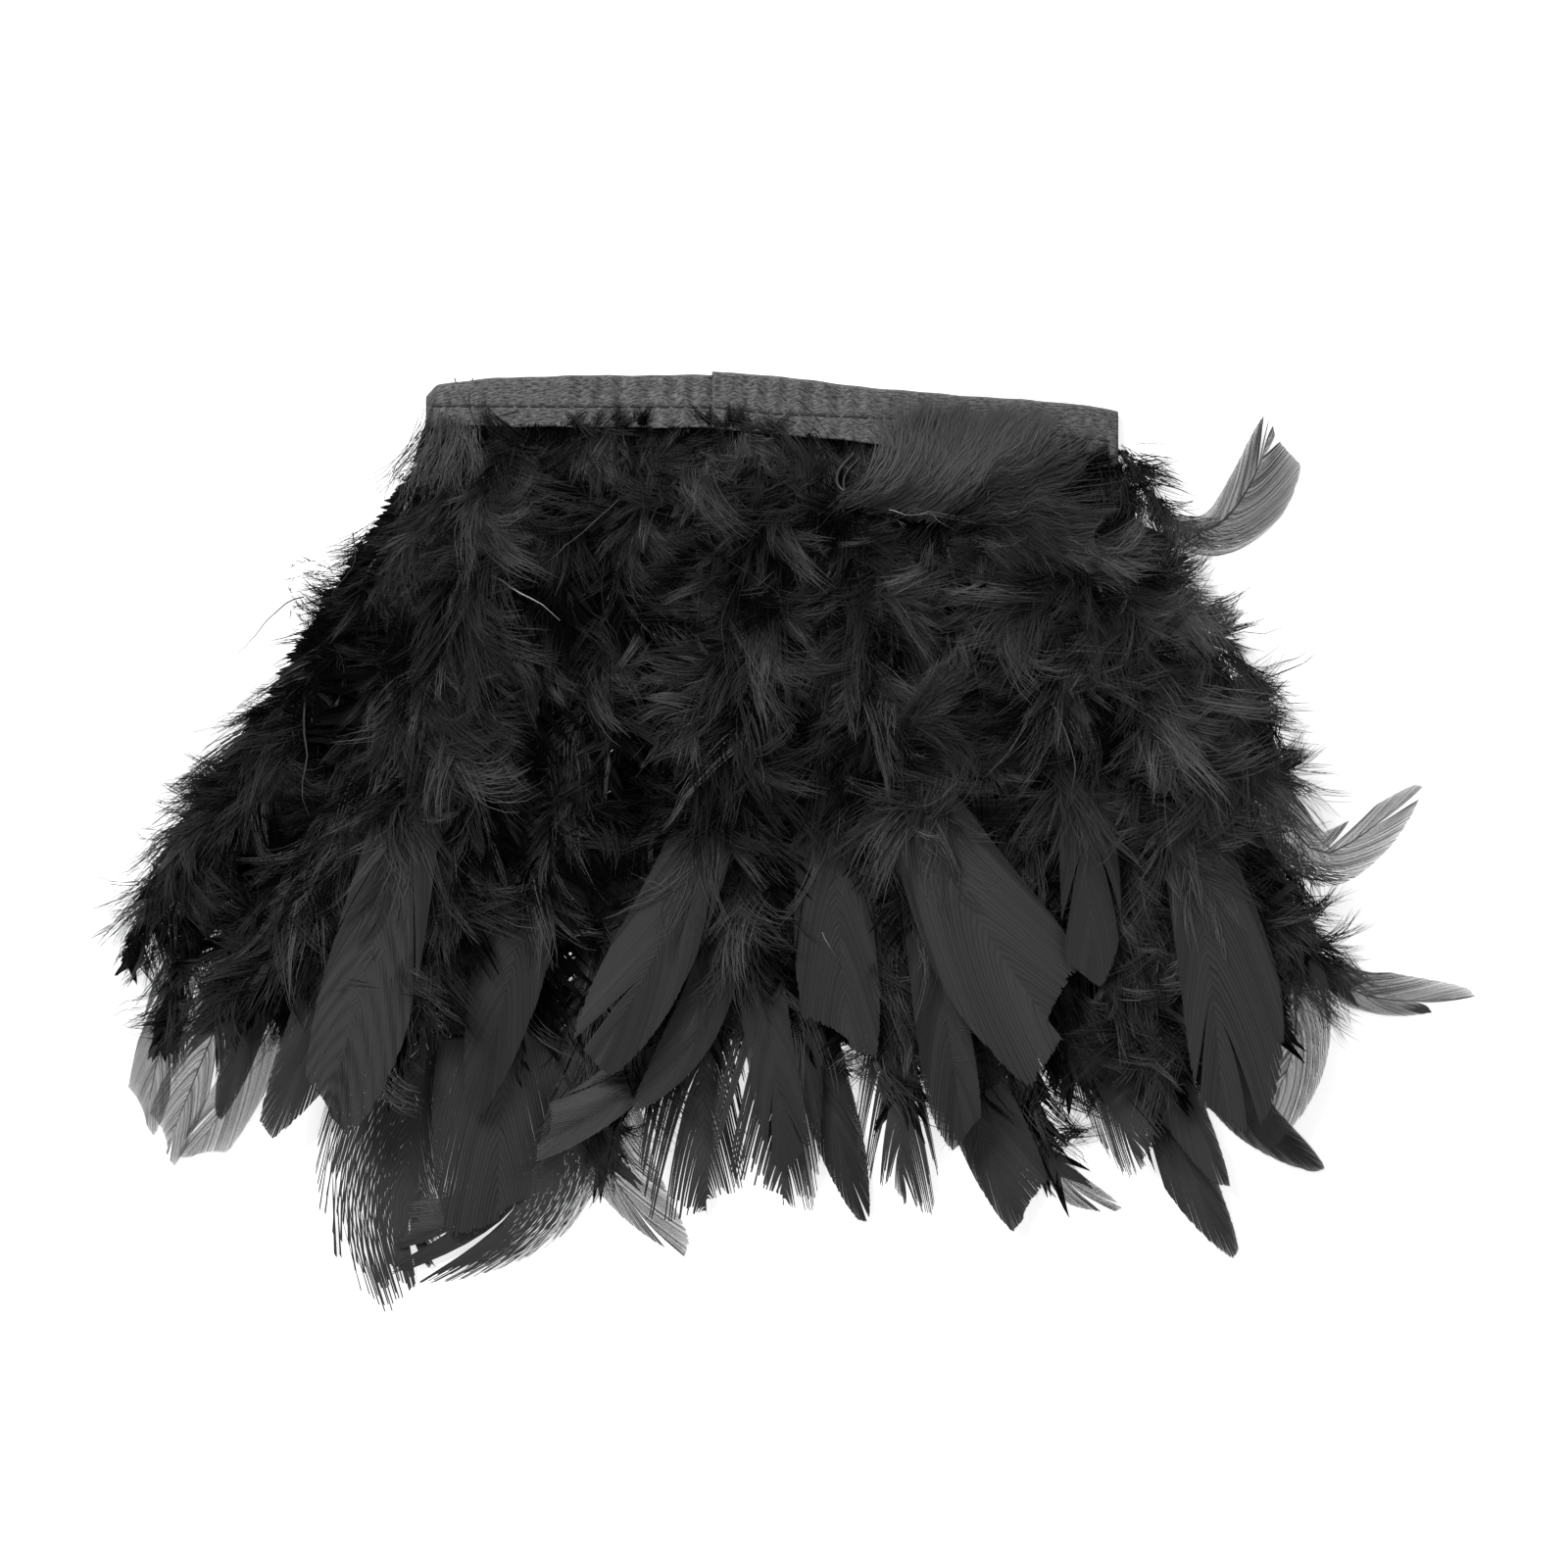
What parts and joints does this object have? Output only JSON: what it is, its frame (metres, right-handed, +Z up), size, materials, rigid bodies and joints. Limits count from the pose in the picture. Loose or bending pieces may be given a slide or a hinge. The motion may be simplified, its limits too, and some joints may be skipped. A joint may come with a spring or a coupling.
{
  "type": "feather fringe trim",
  "caption": "Black feather fringe trim lying flat: a folded, stitched ribbon tape holding a fan of downy feathers whose satin blade tips spread below it.",
  "frame": {"origin": "on the flat underside of the ribbon tape, near the middle of its length and width", "axes": "+X along the tape to its right end seen from above, -Y the way the feathers point, +Z up off the table through the tape's thickness"},
  "size_m": [0.2495, 0.1664, 0.0271],
  "materials": {
    "ribbon": "black satin-faced grosgrain, slightly shiny",
    "thread": "black polyester sewing thread",
    "quill": "dyed keratin, half matt",
    "vane": "black dyed feather: soft matt down, satin blade"
  },
  "bodies": {
    "tape": {"ribbon_left": "ribbon", "ribbon_right": "ribbon", "needle_thread": "thread", "bobbin_thread": "thread", "strung_quill_butts": "quill"},
    "lower_fringe": {"lower_feather_01": "vane", "lower_feather_02": "vane", "lower_feather_03": "vane", "lower_feather_04": "vane", "lower_feather_05": "vane", "lower_feather_06": "vane", "lower_feather_07": "vane", "lower_feather_08": "vane", "lower_feather_09": "vane", "lower_feather_10": "vane", "lower_feather_11": "vane", "lower_feather_12": "vane"},
    "middle_fringe": {"middle_feather_01": "vane", "middle_feather_02": "vane", "middle_feather_03": "vane", "middle_feather_04": "vane", "middle_feather_05": "vane", "middle_feather_06": "vane", "middle_feather_07": "vane", "middle_feather_08": "vane", "middle_feather_09": "vane", "middle_feather_10": "vane", "middle_feather_11": "vane", "middle_feather_12": "vane"},
    "upper_fringe": {"upper_feather_01": "vane", "upper_feather_02": "vane", "upper_feather_03": "vane", "upper_feather_04": "vane", "upper_feather_05": "vane", "upper_feather_06": "vane", "upper_feather_07": "vane", "upper_feather_08": "vane", "upper_feather_09": "vane", "upper_feather_10": "vane", "upper_feather_11": "vane", "upper_feather_12": "vane"},
    "barred_blade": {"barred_blade": "vane"},
    "square_tip_blade": {"square_tip_blade": "vane"},
    "broad_blade": {"broad_blade": "vane"},
    "narrow_blade": {"narrow_blade": "vane"},
    "right_blade": {"right_blade": "vane"},
    "back_swept_plume": {"back_swept_plume": "vane"},
    "end_feather": {"end_feather": "vane"}
  },
  "joints": [
    {"name": "lower_fringe_lift", "type": "hinge", "parent": "tape", "child": "lower_fringe", "pos_m": [0, -0.01005, 0.0017], "axis": [-0.9982, 0.0606, 0], "range_deg": [0, 35], "stiffness_Nm_per_rad": 0.004},
    {"name": "middle_fringe_lift", "type": "hinge", "parent": "lower_fringe", "child": "middle_fringe", "pos_m": [0, -0.01005, 0.0017], "axis": [-0.9982, 0.0606, 0], "range_deg": [0, 10], "stiffness_Nm_per_rad": 0.003},
    {"name": "upper_fringe_lift", "type": "hinge", "parent": "middle_fringe", "child": "upper_fringe", "pos_m": [0, -0.01005, 0.0017], "axis": [-0.9982, 0.0606, 0], "range_deg": [0, 7], "stiffness_Nm_per_rad": 0.002},
    {"name": "barred_blade_lift", "type": "hinge", "parent": "upper_fringe", "child": "barred_blade", "pos_m": [0, -0.01005, 0.0017], "axis": [-0.9982, 0.0606, 0], "range_deg": [0, 7], "stiffness_Nm_per_rad": 0.0003},
    {"name": "square_tip_blade_lift", "type": "hinge", "parent": "upper_fringe", "child": "square_tip_blade", "pos_m": [0, -0.01005, 0.0017], "axis": [-0.9982, 0.0606, 0], "range_deg": [0, 7], "stiffness_Nm_per_rad": 0.0003},
    {"name": "broad_blade_lift", "type": "hinge", "parent": "upper_fringe", "child": "broad_blade", "pos_m": [0, -0.01005, 0.0017], "axis": [-0.9982, 0.0606, 0], "range_deg": [0, 7], "stiffness_Nm_per_rad": 0.0003},
    {"name": "narrow_blade_lift", "type": "hinge", "parent": "upper_fringe", "child": "narrow_blade", "pos_m": [0, -0.01005, 0.0017], "axis": [-0.9982, 0.0606, 0], "range_deg": [0, 7], "stiffness_Nm_per_rad": 0.0003},
    {"name": "right_blade_lift", "type": "hinge", "parent": "upper_fringe", "child": "right_blade", "pos_m": [0, -0.01005, 0.0017], "axis": [-0.9982, 0.0606, 0], "range_deg": [0, 7], "stiffness_Nm_per_rad": 0.0003},
    {"name": "back_swept_plume_lift", "type": "hinge", "parent": "tape", "child": "back_swept_plume", "pos_m": [0.018, -0.0096, 0.0027], "axis": [0, -1, 0], "range_deg": [0, 35], "stiffness_Nm_per_rad": 0.0002},
    {"name": "end_feather_lift", "type": "hinge", "parent": "tape", "child": "end_feather", "pos_m": [0.0636, -0.0086, 0.0017], "axis": [0, -1, 0], "range_deg": [0, 35], "stiffness_Nm_per_rad": 0.0002}
  ]
}
